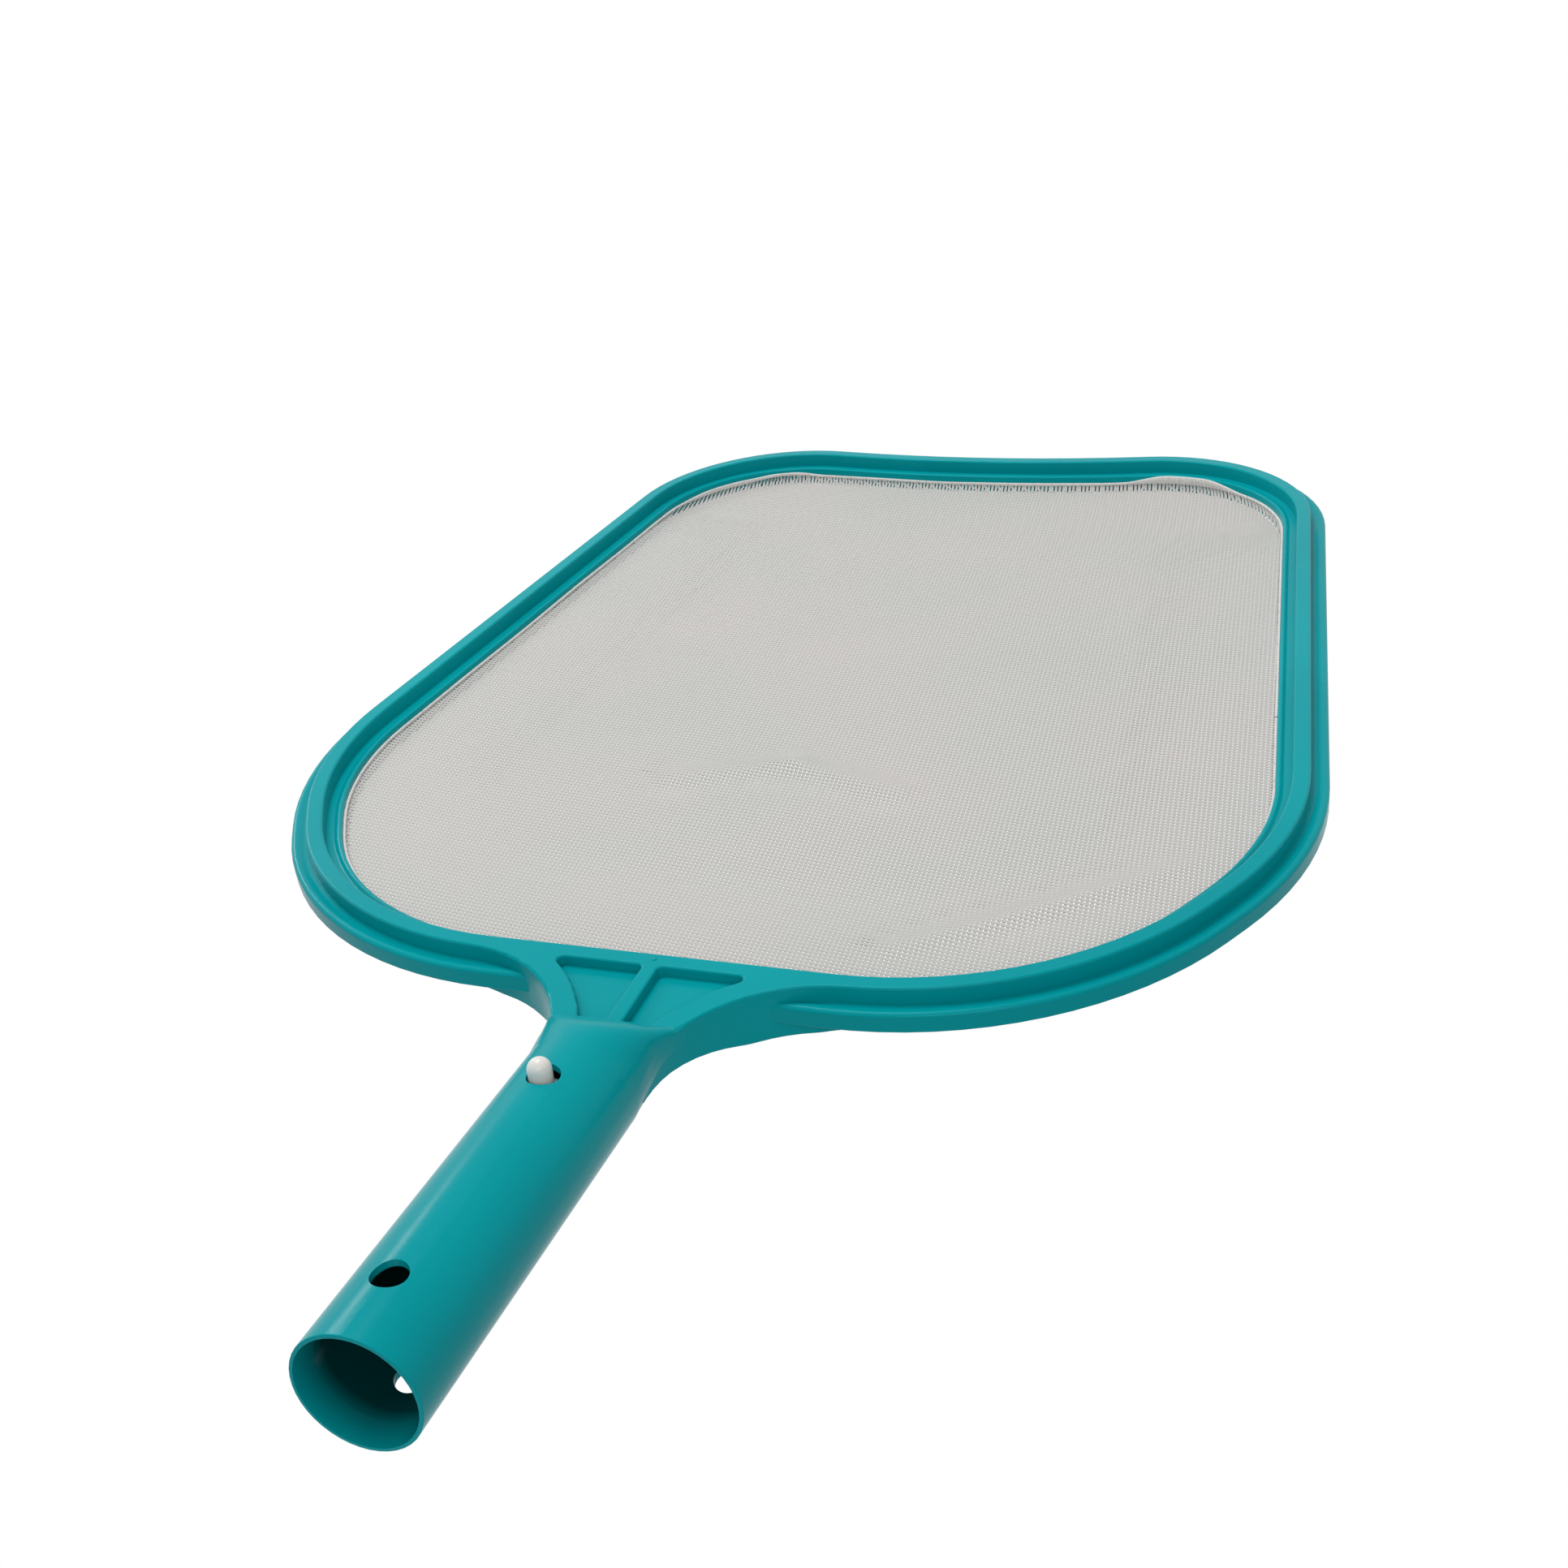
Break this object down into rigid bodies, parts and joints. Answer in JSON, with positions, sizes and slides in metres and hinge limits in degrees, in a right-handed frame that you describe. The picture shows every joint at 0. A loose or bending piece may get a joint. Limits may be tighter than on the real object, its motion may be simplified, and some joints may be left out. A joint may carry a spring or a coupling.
{
  "type": "leaf skimmer net",
  "caption": "Flat-net pool leaf skimmer head: moulded rim with a lip and ledge, stretched mesh, round pole handle with cross-holes and a sprung two-button clip.",
  "frame": {"origin": "middle of the handle's mouth, on the handle's axis", "axes": "+Y from the mouth to the front of the net, +Z to the side that the leaves land on, X across the width; the rim's top is parallel to the XY plane and the handle tilts 3.8 degrees down towards the rim"},
  "size_m": [0.3118, 0.5095, 0.0387],
  "materials": {
    "frame": "semi-gloss teal moulding",
    "net": "fine light grey mesh",
    "spring": "rolled strip",
    "button": "smooth white plastic"
  },
  "bodies": {
    "skimmer": {"skimmer_frame": "frame", "net_panel": "net", "clip_spring": "spring"},
    "upper_button": {"upper_button": "button"},
    "lower_button": {"lower_button": "button"}
  },
  "joints": [
    {"name": "upper_button_press", "type": "slide", "parent": "skimmer", "child": "upper_button", "axis": [0, -0.0663, -0.9978], "range_m": [0, 0.0045], "stiffness_N_per_m": 3000, "springref_m": -0.001, "deforming": ["clip_spring"]},
    {"name": "lower_button_press", "type": "slide", "parent": "skimmer", "child": "lower_button", "axis": [0, 0.0663, 0.9978], "range_m": [0, 0.0045], "stiffness_N_per_m": 3000, "springref_m": -0.001, "deforming": ["clip_spring"]}
  ]
}
